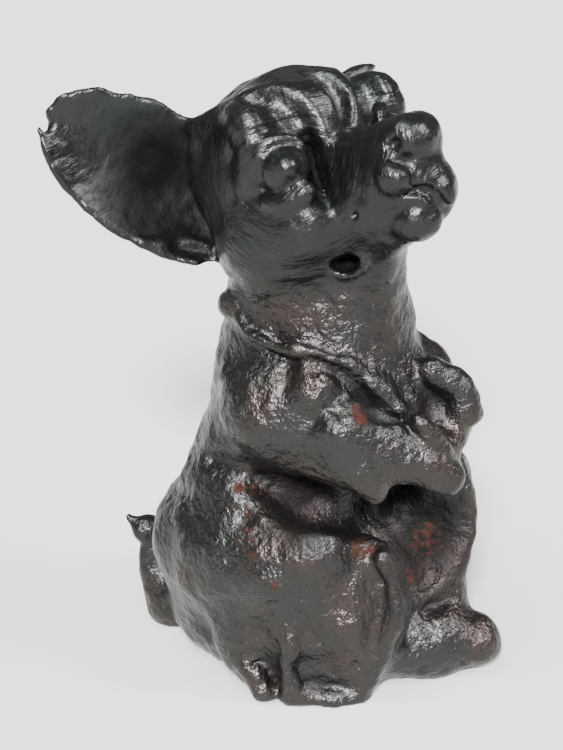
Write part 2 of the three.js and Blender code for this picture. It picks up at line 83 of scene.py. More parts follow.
def head_axes():
    """Forward, left and up of the head: level axes turned by HEAD_TURN and tipped by HEAD_LIFT."""
    ahead = np.array([-math.sin(HEAD_TURN), -math.cos(HEAD_TURN), 0])
    left = np.array([math.cos(HEAD_TURN), -math.sin(HEAD_TURN), 0])
    lift, level = math.sin(HEAD_LIFT), math.cos(HEAD_LIFT)
    return np.stack([level * ahead + lift * LEVEL[2], left, level * LEVEL[2] - lift * ahead])


HEAD = head_axes()


def on_head(forward, left, up):
    """The point that lies so many parts forward, left and up from between the eyes."""
    return BETWEEN_EYES + np.array([forward, left, up]) @ HEAD


def flank_axes(tilt):
    """Along, out of and up the right flank, where along dips forward by a tilt in degrees."""
    along = np.array([math.cos(FLANK_TURN), -math.sin(FLANK_TURN), 0])
    out = np.array([-math.sin(FLANK_TURN), -math.cos(FLANK_TURN), 0])
    c, s = math.cos(math.radians(tilt)), math.sin(math.radians(tilt))
    return np.stack([c * along + s * LEVEL[2], out, c * LEVEL[2] - s * along])


print("the nose points along", np.round(HEAD[0], 2))

# %% [markdown]
# Lumps of clay
#
# A modeller presses ropes, balls and flat leaves of clay together and smears the joins. The same
# can be done with distances. Each lump is a box and a function that tells how far a point lies
# outside its skin, with a minus sign inside. Two lumps become one body when the lower of their
# distances is kept, and the join is smeared when that minimum is rounded. Sculpting brushes or
# metaballs could do this too, but a formula gives the same clay every time and lets each lump keep
# a name.

# %% Rounded minimum, balls and ropes
def soft_min(a, b, blend):
    """The lower of a and b, less (blend - |a - b|)^2 / (4 blend) where they differ by less."""
    h = np.maximum(blend - np.abs(a - b), 0)
    return np.minimum(a, b) - h * h / (4 * blend)


def ball(centre, radii, axes=LEVEL):
    """An egg: with q the point over the radii, the distance is about |q| (|q| - 1) / |q / radii|."""
    centre, radii = np.array(centre, float), np.array(radii, float)

    def distance(points):
        q = (points - centre) @ axes.T / radii
        size = np.sqrt((q * q).sum(1))
        slope = np.sqrt(((q / radii) ** 2).sum(1)) + 1e-6
        return size * (size - 1) / slope

    reach = radii.max()
    return centre - reach, centre + reach, distance


def smooth_rows(rows, steps):
    """A Catmull-Rom curve through the rows: each span is a cubic whose slope at a row is half the
    difference of the rows before and after it."""
    p = np.array(rows, float)
    p = np.vstack([2 * p[0] - p[1], p, 2 * p[-1] - p[-2]])
    t = (np.arange(steps) / steps)[None, :, None]
    a, b, c, d = (p[i:len(p) - 3 + i][:, None, :] for i in range(4))
    spans = 0.5 * (2 * b + (c - a) * t + (2 * a - 5 * b + 4 * c - d) * t ** 2
                   + (3 * b - a - 3 * c + d) * t ** 3)
    return np.vstack([spans.reshape(-1, p.shape[1]), p[-2]])


def rope(*rows, steps=5):
    """A rope through rows of x, y, z and radius: the least distance to any of its short cones."""
    path = smooth_rows(rows, steps)
    centre, radius = path[:, :3], path[:, 3]

    def distance(points):
        best = np.full(len(points), np.inf)
        for i in range(len(path) - 1):
            span = centre[i + 1] - centre[i]
            from_start = points - centre[i]
            t = np.clip(from_start @ span / (span @ span), 0, 1)
            gap = np.linalg.norm(from_start - t[:, None] * span, axis=1)
            best = np.minimum(best, gap - radius[i] - t * (radius[i + 1] - radius[i]))
        return best

    reach = radius.max()
    return centre.min(0) - reach, centre.max(0) + reach, distance


def head_ball(forward, left, up, radii):
    """An egg that is placed and turned with the head."""
    return ball(on_head(forward, left, up), radii, HEAD)


def head_rope(*rows, side=1):
    """A rope through rows of forward, left, up and radius, with side -1 to mirror it."""
    return rope(*[[*on_head(forward, left * side, up), radius]
                  for forward, left, up, radius in rows])


smeared = soft_min(0.2, 0.2, 0.4)
print("2 mm from two skins, a smear of 4 mm leaves", round(smeared * 10, 2), "mm")

# %% [markdown]
# The ears
#
# A chihuahua's ears are large, thin and cupped. The modeller rolled out a leaf of clay, bent it,
# and pinched it on to the skull. Here a leaf is a bent sheet with an outline: half an ellipse gives
# its width, and a parabola across it gives the cup. That is closer to a rolled leaf than an egg
# would be.

# %% A cupped ear
def ear(root, tip, opens, half_width, cup, wall):
    """A leaf from root to tip. Its half width follows half an ellipse along its length, it sinks
    away from the side it opens to by cup (1 - t^2) across its width, and less so near the tip. It
    is wall thick, and a third thinner at the tip. It starts a quarter of its length before root."""
    root, along = np.array(root), np.array(tip) - root
    length = np.linalg.norm(along)
    along = along / length
    facing = np.array(opens, float)
    facing -= facing @ along * along
    facing /= np.linalg.norm(facing)
    across = np.cross(facing, along)
    widest, spread, sunk = 0.36, 0.665, 0.25

    def distance(points):
        p = points - root
        s, t, n = p @ along / length, p @ across, p @ facing
        held = np.clip(s, -sunk, 1)
        half = half_width * np.sqrt(np.maximum(1 - ((held - widest) / spread) ** 2, 0.003))
        flatter = np.clip(1 - 0.8 * held, 0, 1)
        depth = cup * (1 - (t / np.maximum(half, 0.3)) ** 2) * flatter
        sheet = np.abs(n + depth) - wall / 2 * (1 - 0.35 * np.clip(s, 0, 1))
        edge = np.maximum(np.abs(t) - half, np.maximum(s - 1, -sunk - s) * length)
        return -0.8 * soft_min(-edge, -sheet, 0.5)

    middle, reach = root + along * length / 2, length / 2 + half_width
    return middle - reach, middle + reach, distance


lowest, highest, _ = ear([0, 0, 0], [0, 0, 7], [0, -1, 0], 2.7, 1.8, 0.76)
print("box of a plain 7 cm ear:", lowest.round(1), highest.round(1))

# %% The clay itself
FAR_OFF = 3.0
ADD_REACH = 1.6
PRESS_REACH = 0.6


class Clay:
    """Distances to the clay at a list of points. Lumps change only the points in their reach."""

    def __init__(self, points):
        self.points = points
        self.value = np.full(len(points), FAR_OFF)
        self.lumps = 0

    def near(self, lump, margin):
        """Which points lie in the lump's box, made wider by the margin."""
        low, high, _ = lump
        p = self.points
        return np.flatnonzero(np.all((p > low - margin) & (p < high + margin), axis=1))

    def add(self, lump, blend):
        """Presses a lump on: the rounded minimum of the two distances."""
        self.lumps += 1
        at = self.near(lump, ADD_REACH + blend)
        self.value[at] = soft_min(self.value[at], lump[2](self.points[at]), blend)

    def press(self, lump, blend):
        """Presses a lump's shape in: the rounded maximum of the distance and minus the lump's."""
        self.lumps += 1
        at = self.near(lump, PRESS_REACH + blend)
        self.value[at] = -soft_min(-self.value[at], lump[2](self.points[at]), blend)


def report_lumps(title, *steps):
    """Prints how many lumps those steps press on or in."""
    clay = Clay(np.zeros((1, 3)))
    for step in steps:
        step(clay)
    print(title, "lumps:", clay.lumps)


EAR_WALL = 0.76
RIM = 0.32
ROLL = 0.26
print("ear wall", EAR_WALL * 10, "mm, rims", 2 * RIM * 10, "mm, neck roll", 2 * ROLL * 10, "mm")

# %% [markdown]
# Body and legs
#
# The real dog sits on a broad seat that grows straight into the trunk. The right hind leg is folded
# against the body, the left one stands open and ends in a stout foot, and the hollow between them
# runs in under the paws. Long, tapering ropes give trunk and limbs, and wide eggs fill the places
# where a hand has smeared clay from one to the next.

# %% Trunk, seat and tail
def lay_trunk(clay):
    """A rope from seat to shoulders, and eggs for the chest, the seat and the belly."""
    clay.add(rope([-0.3, 1.6, 4.2, 4.7], [-0.3, 1.4, 7.6, 3.8], [-0.1, 0.7, 10.6, 3.5],
                  [0.1, 0.3, 13.4, 3.6], [0.3, 0.1, 16.4, 3.1]), 0.5)
    clay.add(ball([0.3, -1.9, 13.6], [2.8, 2.3, 3.9]), 1.2)
    clay.add(ball([-0.4, 1.0, 1.4], [4.0, 5.0, 2.2]), 1.2)
    clay.add(ball([0.9, -2.2, 3.2], [3.2, 2.7, 3.0]), 0.8)


def lay_tail(clay):
    """A short flat tail that stands up behind the rump, with a spur at its tip."""
    clay.add(rope([-1.8, 6.0, 0.7, 1.1], [-1.8, 6.7, 2.2, 0.85], [-1.8, 7.0, 3.5, 0.75],
                  [-2.1, 7.1, 4.2, 0.6]), 0.3)
    clay.add(rope([-2.1, 7.2, 4.1, 0.5], [-2.5, 7.8, 4.7, 0.2]), 0.3)


report_lumps("trunk and tail", lay_trunk, lay_tail)

# %% [markdown]
# Hind legs
#
# The right hind leg is folded up, and its shin was pressed flat to a plate with a thin standing
# rim. The left one is open like a bowl. Rims and folds are thin ropes laid on the eggs of the legs,
# just as a modeller lays a coil of clay on an edge and smears only one side of it.

# %% Hind legs
def lay_right_hind_leg(clay):
    """Hip to knee, a broad shin plate with a thin rim, a fold up its side, and the heel."""
    clay.add(rope([-2.2, 3.2, 5.0, 2.7], [-2.9, 1.2, 5.4, 2.8], [-3.1, -0.9, 5.8, 2.5],
                  [-3.3, -2.3, 6.6, 1.6]), 0.8)
    clay.add(ball([-2.75, -3.2, 3.9], [3.0, 1.2, 3.7], flank_axes(-8)), 0.9)
    clay.add(ball([-3.8, -2.9, 6.7], [1.2, 0.9, 1.1], flank_axes(0)), 0.6)
    clay.add(ball([-2.0, -3.3, 3.0], [1.5, 1.9, 2.9]), 0.9)
    clay.add(ball([-3.6, -0.8, 2.2], [2.6, 1.3, 2.4], flank_axes(0)), 0.9)
    clay.press(rope([-3.2, -5.3, 6.0, 0.5], [-3.1, -5.5, 4.2, 0.65], [-3.3, -5.2, 2.6, 0.5]), 0.4)
    clay.press(ball([-4.4, -4.3, 1.9], [1.8, 0.9, 1.4], flank_axes(0)), 0.5)
    clay.add(rope([-2.4, -5.2, 6.7, RIM], [-2.2, -5.6, 5.5, RIM], [-2.2, -5.65, 4.2, RIM],
                  [-2.3, -5.4, 2.8, RIM], [-2.45, -4.9, 1.4, RIM], [-2.8, -4.3, 0.3, RIM]), 0.35)
    clay.add(rope([-2.6, -4.3, 0.3, RIM], [-3.5, -3.8, 0.2, RIM], [-4.3, -2.7, 0.3, RIM]), 0.5)
    clay.add(rope([-4.4, -2.1, 4.5, 0.8 * RIM], [-4.7, -2.3, 3.0, RIM],
                  [-4.8, -2.2, 1.6, 1.1 * RIM], [-4.6, -2.2, 0.4, 1.2 * RIM]), 0.5)
    clay.press(rope([-5.3, -1.2, 3.4, 0.3], [-5.5, -1.4, 2.1, 0.5], [-5.5, -1.7, 0.9, 0.5]), 0.5)
    clay.add(rope([-4.8, 1.0, 2.2, 0.3], [-5.0, -0.3, 1.4, 0.45], [-4.9, -1.1, 0.5, 0.5]), 0.4)
    clay.add(rope([-2.9, 3.6, 8.0, 0.6], [-3.3, 2.4, 8.2, 0.7], [-3.5, 0.8, 8.1, 0.7],
                  [-3.6, -0.8, 7.7, 0.6]), 0.6)
    clay.press(rope([-3.6, 2.4, 9.4, 0.25], [-4.0, 1.0, 9.5, 0.4], [-3.9, -0.4, 9.3, 0.5]), 0.5)


def lay_left_hind_leg(clay):
    """Hip to knee, shin, the bowl of the hollow side with its rim, and a stout foot."""
    clay.add(rope([2.0, 2.8, 5.0, 2.6], [3.0, 0.3, 5.8, 2.2], [3.3, -2.4, 7.0, 1.7],
                  [3.1, -4.3, 8.0, 1.1]), 0.8)
    clay.add(rope([3.0, -4.4, 7.8, 1.0], [3.0, -4.8, 5.0, 1.1], [2.2, -4.9, 2.4, 1.3]), 0.9)
    clay.add(ball([2.7, -3.0, 5.0], [1.2, 2.6, 3.2]), 0.7)
    clay.press(ball([1.0, -5.5, 6.3], [1.4, 1.2, 1.9]), 0.4)
    clay.add(rope([2.9, -5.3, 8.8, RIM], [3.1, -5.8, 7.0, RIM], [2.9, -5.9, 5.2, RIM],
                  [2.2, -5.7, 4.1, RIM], [1.1, -5.2, 3.4, RIM], [-0.2, -4.6, 3.3, RIM]), 0.35)
    clay.add(rope([-0.4, -4.0, 1.4, 1.5], [1.0, -5.5, 1.35, 1.45], [1.9, -6.4, 1.25, 1.25],
                  [2.3, -6.8, 1.2, 1.15]), 0.6)


report_lumps("hind legs", lay_right_hind_leg, lay_left_hind_leg)

# %% [markdown]
# Forelegs and the fold on the chest
#
# The paws meet before the chest and are hardly more than stumps, so a few tapering ropes are
# enough. What tells most is the deep hollow under the right arm and the torn fold over it. Both are
# pressed in with ropes that lie just under the skin, so the depth follows the real finger or tool.

# %% Forelegs
def lay_forelegs(clay):
    """Arms whose paws meet before the chest, and the hollow under the right arm."""
    clay.add(ball([-1.9, -1.4, 11.8], [3.7, 2.4, 2.5], flank_axes(-12)), 0.7)
    clay.add(rope([-1.9, -3.4, 11.2, 1.9], [-1.3, -4.8, 10.9, 1.3], [-0.8, -5.8, 10.5, 0.95],
                  [-0.1, -6.6, 9.8, 0.75]), 0.6)
    clay.add(ball([-2.6, -3.5, 12.0], [1.5, 1.2, 1.3]), 0.5)
    clay.add(ball([-2.8, -2.4, 13.6], [1.1, 1.0, 1.2]), 0.5)
    clay.add(rope([-2.6, -4.2, 10.4, 0.8], [-2.35, -4.7, 9.6, 0.5], [-2.3, -4.8, 9.2, 0.3]), 0.4)
    clay.add(rope([1.8, -1.2, 13, 2.0], [2.4, -3.3, 12.6, 1.5], [2.2, -4.6, 12.0, 1.2],
                  [1.7, -5.4, 10.9, 1.1], [0.8, -5.8, 10.6, 0.9]), 0.6)
    clay.add(ball([0.6, -3.6, 12.0], [1.9, 1.6, 2.4]), 0.8)
    clay.press(rope([0.2, -5.0, 13.4, 0.15], [0.5, -5.7, 12.5, 0.3], [0.8, -6.3, 11.5, 0.3]), 0.2)
    clay.add(rope([1.2, -5.1, 13.4, 0.75], [1.9, -5.8, 12.7, 0.8], [2.0, -6.0, 11.7, 0.8]), 0.2)
    clay.add(rope([-0.9, -5.9, 12.2, 0.45], [-0.5, -6.1, 11.6, 0.55], [-0.1, -6.4, 11.0, 0.4]), 0.15)
    clay.press(rope([-4.3, 0.7, 9.5, 0.5], [-3.9, -1.2, 8.9, 0.9], [-2.6, -3.4, 8.3, 1.1],
                    [-0.8, -4.9, 8.2, 1.2]), 0.35)
    clay.press(rope([-3.6, 0.1, 9.0, 0.4], [-3.1, -0.9, 8.7, 0.7], [-2.5, -2.0, 8.1, 0.9],
                    [-1.6, -3.0, 7.6, 0.9]), 0.3)


report_lumps("forelegs", lay_forelegs)

# %% Neck roll and the fold below it
CRACK_WIDTH = 0.11
CRACKS = [([-3.3, -2.4, 14.95], [-3.35, -2.5, 14.5], [-3.6, -2.85, 14.2], [-3.62, -3.1, 13.7],
           [-3.5, -3.3, 13.2], [-3.4, -3.8, 13.0]),
          ([-3.35, -2.55, 14.5], [-3.05, -2.9, 14.35], [-2.9, -3.3, 14.2]),
          ([-1.75, -3.5, 15.2], [-1.7, -3.72, 14.7], [-1.3, -3.75, 14.75], [-0.9, -4.0, 14.4],
           [-0.75, -4.2, 14.0]),
          ([-1.25, -3.7, 15.1], [-1.3, -3.75, 14.75], [-1.5, -4.0, 14.2])]


def lay_collar(clay):
    """A thin roll of skin round the neck, and the torn fold that runs on from it down the chest."""
    clay.add(rope([2.9, -1.9, 15.0, ROLL], [3.3, 0.1, 15.2, ROLL], [2.7, 2.0, 15.9, ROLL],
                  [0.3, 3.2, 16.4, 1.3 * ROLL], [-2.0, 2.2, 16.0, 1.2 * ROLL],
                  [-3.1, 0.9, 15.3, ROLL], [-3.4, -0.6, 15.1, ROLL], [-3.2, -1.8, 15.1, ROLL],
                  [-2.7, -2.7, 14.9, ROLL], [-2.1, -3.3, 14.4, ROLL]), 0.25)
    clay.add(ball([-2.4, 2.1, 15.9], [0.55, 0.7, 0.7]), 0.3)
    clay.add(rope([-2.1, -3.2, 14.6, 0.35], [-1.4, -3.8, 13.7, 0.45], [-1.1, -4.3, 13.1, 0.45],
                  [-0.9, -4.8, 12.6, 0.4]), 0.4)
    clay.press(rope([-3.3, -2.3, 14.9, 0.1], [-2.8, -3.0, 14.4, 0.18], [-2.3, -3.6, 13.9, 0.26],
                    [-2.0, -3.9, 13.3, 0.42], [-1.95, -4.3, 12.85, 0.42], [-1.7, -4.75, 12.5, 0.26],
                    [-1.2, -5.0, 12.2, 0.1]), 0.2)
    for crack in CRACKS:
        clay.press(rope(*[point + [CRACK_WIDTH] for point in crack]), 0.12)


report_lumps("neck roll and fold", lay_collar)

# %% [markdown]
# Head
#
# A dog's face is read from its big planes: the dome of the skull, the brows, the deep muzzle with
# its flat bridge, and the valleys between them. They are laid in that order, and the valleys are
# pressed in last, as a thumb would. Each brow, ridge and eye is one function of the side it is on.

# %% Neck, skull and the sides of the face
def lay_neck_and_skull(clay):
    """Two ropes for nape and throat, then eggs for the skull, the cheeks and the forehead."""
    clay.add(rope([0.3, 0.1, 16.5, 3.0], [*on_head(-3.4, 0, -1.5), 3.2]), 0.8)
    clay.add(rope([0.5, -1.6, 16.0, 2.1], [*on_head(-0.6, 0.2, -3.6), 1.5]), 0.8)
    clay.add(head_ball(-3.5, 0.1, 0.1, [3.6, 3.8, 3.8]), 0.8)
    clay.add(head_ball(-3.6, -0.3, -2.4, [3.2, 3.7, 2.7]), 0.8)
    clay.add(head_ball(-1.4, 0, 1.3, [2.2, 2.3, 2.3]), 0.9)


def lay_face_side(clay, side, out):
    """Brow, cheek, and the ridge beside the middle furrow; out moves the brow outwards and down."""
    clay.add(head_rope((-2.6, 2.2 + out, 1.9 - out, 1.0),
                       (-1.3 + 2 * out, 2.8 + out, 1.8 - out, 1.0),
                       (-1.1 + 2 * out, 3.1 + out, 1.0 - out, 0.8),
                       (-1.5 + out, 3.4 + out, 0.1, 0.6), side=side), 0.9)
    clay.add(head_ball(-1.8, 2.2 * side, -2.2, [2.0, 1.4, 1.7]), 0.9)
    clay.add(head_rope((-1.6, 1.8, 2.5, 0.5), (-0.5, 1.4, 2.1, 0.7), (-0.1, 1.1, 1.2, 0.6),
                       (0.1, 0.9, 0.4, 0.45), side=side), 0.6)


report_lumps("neck and skull", lay_neck_and_skull)

# %% Eyes
def lay_eye(clay, side):
    """Eyeball with a raised disc for the iris, the thin roll of the upper lid and the lower lid."""
    clay.add(head_ball(-0.45, 2.75 * side, -0.35, [1.0, 1.0, 0.95]), 0.12)
    clay.add(head_ball(0.12, 3.12 * side, -0.4, [0.55, 0.55, 0.5]), 0.08)
    clay.add(head_rope((-1.2, 3.45, -0.3, 0.15), (-0.75, 3.6, 0.3, 0.22), (-0.35, 3.3, 0.72, 0.24),
                       (0.0, 2.8, 0.72, 0.25), (0.2, 2.35, 0.5, 0.24),
                       (0.25, 2.1, 0.1, 0.18), side=side), 0.2)
    clay.add(head_rope((-1.3, 3.4, -1.2, 0.35), (-0.6, 3.25, -1.5, 0.42),
                       (0.05, 2.75, -1.5, 0.45), side=side), 0.2)


report_lumps("one eye", lambda clay: lay_eye(clay, -1))

# %% Muzzle
def lay_muzzle(clay):
    """Deep muzzle with a flat bridge, block of a nose, whisker pad, heavy front lip, lower jaw."""
    clay.add(head_rope((-0.4, 0.1, -1.9, 2.0), (2.6, 0.1, -2.1, 1.5)), 0.6)
    clay.add(head_ball(0.6, 0, -2.9, [2.2, 1.8, 1.7]), 0.6)
    for side in (-1, 1):
        clay.add(head_rope((0.2, 0.5 * side, -0.7, 0.6), (2.4, 0.5 * side, -0.85, 0.6),
                           (3.9, 0.45 * side, -1.15, 0.6)), 0.5)
    clay.add(head_ball(3.3, -0.1, -1.45, [1.4, 1.15, 1.05]), 0.5)
    clay.add(head_ball(2.8, 0.3, -3.25, [1.4, 1.25, 1.3]), 0.4)
    clay.add(head_ball(2.6, -0.85, -2.5, [1.0, 0.65, 1.0]), 0.6)
    clay.add(head_ball(3.33, -1.38, -2.42, [0.64, 0.64, 0.64]), 0.35)
    clay.add(head_rope((-1.5, 0, -3.2, 1.7), (1.5, 0.1, -3.8, 1.0)), 0.4)
    clay.add(head_ball(2.5, -0.25, -4.05, [1.0, 1.0, 0.92]), 0.12)


report_lumps("muzzle", lay_muzzle)

# %% [markdown]
# Furrows and marks of the head
#
# The furrows on the brow run down into a deep socket on the inner side of each eye, and the mouth
# is one line drawn with a tool. They are ropes pressed in after the big planes stand, and the
# eyeballs go in last of all, so that they stay round. The right side is the one that is known, so
# it gets the extra strokes, and the left side is kept plainer.

# %% Furrows, sockets and mouth
def press_sockets(clay):
    """The furrow from brow to cheek inside each eye, and three deeper strokes on the right side."""
    for side in (-1, 1):
        clay.press(head_rope((-0.8, 2.6, 2.7, 0.35), (0.0, 2.35, 2.2, 0.55), (0.4, 2.1, 1.5, 0.7),
                             (0.55, 2.05, 0.7, 0.8), (0.6, 2.1, -0.2, 0.8), (0.7, 2.2, -1.1, 0.65),
                             (0.8, 2.3, -2.0, 0.35), side=side), 0.4)
    clay.press(head_rope((0.75, -2.55, 0.35, 0.35), (0.75, -2.6, -0.4, 0.4), (0.4, -2.5, -1.0, 0.4),
                         (0.35, -2.5, -1.6, 0.4), (0.4, -2.6, -2.2, 0.3)), 0.4)
    clay.press(head_rope((-0.1, -1.45, 0.5, 0.25), (-0.15, -1.5, -0.1, 0.36),
                         (-0.15, -1.6, -0.6, 0.38), (-0.05, -1.75, -1.1, 0.36),
                         (0.1, -1.95, -1.7, 0.3), (0.3, -2.15, -2.2, 0.2)), 0.25)
    clay.press(head_rope((-0.5, -1.2, 0.2, 0.15), (-0.65, -1.2, -0.3, 0.22),
                         (-0.65, -1.25, -0.8, 0.24), (-0.5, -1.4, -1.3, 0.22),
                         (-0.25, -1.65, -1.9, 0.16)), 0.12)


def press_brow_and_mouth(clay):
    """The middle furrow, the mouth, the cleft before the pad, and the groove under the nose."""
    clay.press(head_rope((-0.4, 0.0, 3.4, 0.3), (0.2, 0.25, 2.6, 0.45), (0.5, 0.35, 1.7, 0.5),
                         (0.4, 0.2, 0.9, 0.35)), 0.4)
    clay.press(head_rope((3.2, -1.2, -3.15, 0.08), (3.45, -0.98, -3.18, 0.16),
                         (3.62, -0.75, -3.25, 0.26), (3.76, -0.55, -3.34, 0.32),
                         (3.82, -0.42, -3.56, 0.33), (3.8, -0.28, -3.82, 0.32),
                         (3.74, -0.08, -4.06, 0.3), (3.6, 0.22, -4.28, 0.27),
                         (3.3, 0.7, -4.5, 0.2)), 0.08)
    clay.press(head_rope((3.95, -1.0, -2.2, 0.08), (4.0, -0.95, -2.6, 0.12),
                         (3.85, -0.95, -2.95, 0.08)), 0.3)
    clay.press(head_rope((3.7, -1.3, -1.95, 0.1), (4.05, -1.0, -2.1, 0.18), (4.45, -0.3, -2.25, 0.2),
                         (4.35, 0.7, -2.3, 0.15)), 0.15)


report_lumps("furrows and mouth", press_sockets, press_brow_and_mouth)

# %% Nostrils, holes and ears
def lay_face_marks(clay):
    """Nostrils, the oval hole with a raised lip under the jaw, and a finger hole in the cheek."""
    for side in (-1, 1):
        clay.press(head_ball(3.85, 1.15 * side, -1.35, [0.3, 0.24, 0.18]), 0.2)
    clay.press(head_ball(-0.95, -1.4, -4.45, [0.5, 0.6, 0.27]), 0.12)
    clay.press(head_ball(-1.2, -1.1, -4.42, [0.42, 0.6, 0.24]), 0.1)
    clay.add(head_rope((-1.55, -1.6, -4.35, 0.1), (-1.4, -1.4, -4.82, 0.14),
                       (-0.7, -1.1, -4.95, 0.18), (-0.25, -1.05, -4.6, 0.2),
                       (-0.4, -1.1, -4.2, 0.16)), 0.12)
    clay.press(head_ball(1.0, -1.85, -3.0, [0.13, 0.4, 0.15]), 0.08)


def lay_ears(clay):
    """Both ears, the notch in the tip of the right one, and crumbs of clay along its lower edge."""
    clay.add(ear(on_head(-5.3, -2.8, -0.3), on_head(-6.2, -7.7, 5.4), [-0.5, -0.8, 0.1],
                 2.7, 1.8, EAR_WALL), 0.5)
    clay.add(ear(on_head(-5.2, 2.6, 0.4), on_head(-4.2, 7.7, 2.8), [0.5, -0.8, 0.1],
                 2.3, 1.5, EAR_WALL), 0.5)
    clay.add(head_rope((-1.9, -2.2, 2.3, 0.6), (-3.0, -2.6, 2.5, 0.6), (-4.0, -2.9, 2.7, 0.4)), 0.5)
    clay.press(head_ball(-6.4, -7.65, 5.15, [1.0, 0.3, 0.35]), 0.12)
    clay.add(head_rope((-6.8, -5.4, -0.4, 0.16), (-6.8, -4.7, -0.75, 0.32),
                       (-6.75, -4.1, -0.8, 0.22), (-6.7, -3.5, -1.0, 0.36),
                       (-6.4, -2.9, -1.4, 0.25)), 0.2)
    for forward, up in ((-4.4, 2.1), (-4.6, 1.4), (-4.9, 0.7)):
        clay.add(head_ball(forward, -3.1, up, [0.5, 0.3, 0.25]), 0.3)


report_lumps("marks and ears", lay_face_marks, lay_ears)

# %% Pits, and the whole figure
PIT_BLEND = 0.06
PITS = [([-4.8, -0.2, 12.4], 0.16), ([-3.25, -4.45, 1.9], 0.2), ([-0.5, -6.0, 0.85], 0.22),
        ([-5.2, -0.8, 1.6], 0.16), ([-4.8, -2.9, 5.1], 0.13), ([-5.65, 0.0, 6.4], 0.13),
        ([-5.3, 1.6, 6.9], 0.12), ([0.85, -7.15, 0.8], 0.2), ([-4.5, -2.9, 3.3], 0.12)]


def press_pits(clay):
    """Small holes where a pebble or a bubble has left the clay."""
    for centre, radius in PITS:
        clay.press(ball(centre, [radius] * 3), PIT_BLEND)


def lay_figure(clay):
    """Every lump of the figure, in the order that they are pressed on."""
    lay_trunk(clay)
    lay_right_hind_leg(clay)
    lay_left_hind_leg(clay)
    lay_tail(clay)
    lay_forelegs(clay)
    lay_collar(clay)
    lay_neck_and_skull(clay)
    lay_face_side(clay, -1, 0.0)
    lay_face_side(clay, 1, 0.33)
    lay_muzzle(clay)
    press_sockets(clay)
    press_brow_and_mouth(clay)
    lay_eye(clay, -1)
    lay_eye(clay, 1)
    lay_face_marks(clay)
    lay_ears(clay)
    press_pits(clay)


report_lumps("whole figure", lay_figure)

# %% [markdown]
# From distances to a skin
#
# A grid of points is laid through the clay and the skin is drawn where the distance changes sign.
# Most of the grid is far from the skin, so a coarse grid finds the cells that matter and only those
# are sampled finely. Each fine cell that the skin crosses gets one vertex, and each crossed edge of
# the grid gets one four-sided face. This is called surface nets. It gives one closed skin of even
# faces, which holds small dents better than long thin triangles do.

# %% A narrow band of grid points
LOW, HIGH = np.array([-7.4, -8.3, -0.5]), np.array([8.8, 8.5, 25.5])
STEP = 0.133
STRIDE = 4
BAND = 1.25
RELIEF_BAND = 3


def coarse_cells():
    """Corners of the coarse cells that lie within BAND of their size from the skin."""
    pitch = STEP * STRIDE
    count = np.ceil((HIGH - LOW) / pitch).astype(int)
    corner = np.stack(np.meshgrid(*[np.arange(n) for n in count], indexing="ij"), -1).reshape(-1, 3)
    clay = Clay(LOW + (corner + 0.5) * pitch)
    lay_figure(clay)
    distance = np.maximum(clay.value, -clay.points[:, 2])
    return corner[np.abs(distance) < BAND * pitch]


def fine_points(cells):
    """The fine grid points of those cells, each once, as whole numbers."""
    offset = np.stack(np.meshgrid(*[np.arange(STRIDE + 1)] * 3, indexing="ij"), -1).reshape(-1, 3)
    every = (cells[:, None, :] * STRIDE + offset).reshape(-1, 3)
    size = (np.ceil((HIGH - LOW) / STEP) + STRIDE + 2).astype(int)
    key = np.unique((every[:, 0] * size[1] + every[:, 1]) * size[2] + every[:, 2])
    point = np.stack([key // (size[1] * size[2]), key // size[2] % size[1], key % size[2]], 1)
    return point, size


cells = coarse_cells()
grid_point, grid_size = fine_points(cells)
print("coarse cells:", len(cells), " fine points:", len(grid_point))

# %% [markdown]
# Marks in the clay
#
# The surface of the real figure is never smooth. Coarse clay was pressed on in pellets, pads were
# smeared with a thumb, and the fired coat is pitted like old iron. Three sorts of seeded noise make
# this: slow swells for the thumb, middling bumps for the pellets, and small round pits, with combed
# strokes of hair on the head. They are added to the distance, so they move the real surface, and
# light and outline both show them.

# %% Noise on a lattice
SEED = 11


def hashed(cell, salt):
    """A number from 0 to 1 for each whole-numbered cell, from mixing its bits with large primes."""
    c = cell.astype(np.uint64)
    h = (c[..., 0] * np.uint64(73856093)) ^ (c[..., 1] * np.uint64(19349663))
    h = h ^ (c[..., 2] * np.uint64(83492791)) ^ np.uint64((SEED + salt) * 2654435761 % 2 ** 32)
    h = (h ^ (h >> np.uint64(13))) * np.uint64(1274126177) & np.uint64(0xFFFFFFFF)
    h = (h ^ (h >> np.uint64(16))) * np.uint64(2246822519) & np.uint64(0xFFFFFFFF)
    return (h ^ (h >> np.uint64(15))).astype(float) / 2 ** 32


def swell(points, size, salt):
    """Smooth noise from -1 to 1: hashed corner values blended by 3t^2 - 2t^3 in each direction."""
    q = points / size + 512
    base = np.floor(q)
    t = q - base
    t = t * t * (3 - 2 * t)
    total = np.zeros(len(points))
    for i in range(8):
        step = np.array([i & 1, i >> 1 & 1, i >> 2 & 1])
        weight = np.prod(np.where(step, t, 1 - t), axis=1)
        total += weight * hashed(base + step, salt)
    return 2 * total - 1


trial = LOW + (HIGH - LOW) * np.random.default_rng(SEED).random((4000, 3))
trial_swell = swell(trial, 1.9, 1)
print("a swell runs from", trial_swell.min().round(2), "to", trial_swell.max().round(2))

# %% Grains and combed hair
def grains(points, size, salt):
    """The least distance to any of the hashed seed points, one per cell, over the cell size."""
    q = points / size + 512
    base = np.floor(q)
    least = np.full(len(points), 9.0)
    for i in range(27):
        cell = base + np.array([i % 3, i // 3 % 3, i // 9]) - 1
        seed = cell + np.stack([hashed(cell, salt + 7 * j) for j in range(3)], 1)
        least = np.minimum(least, np.linalg.norm(seed - q, axis=1))
    return least


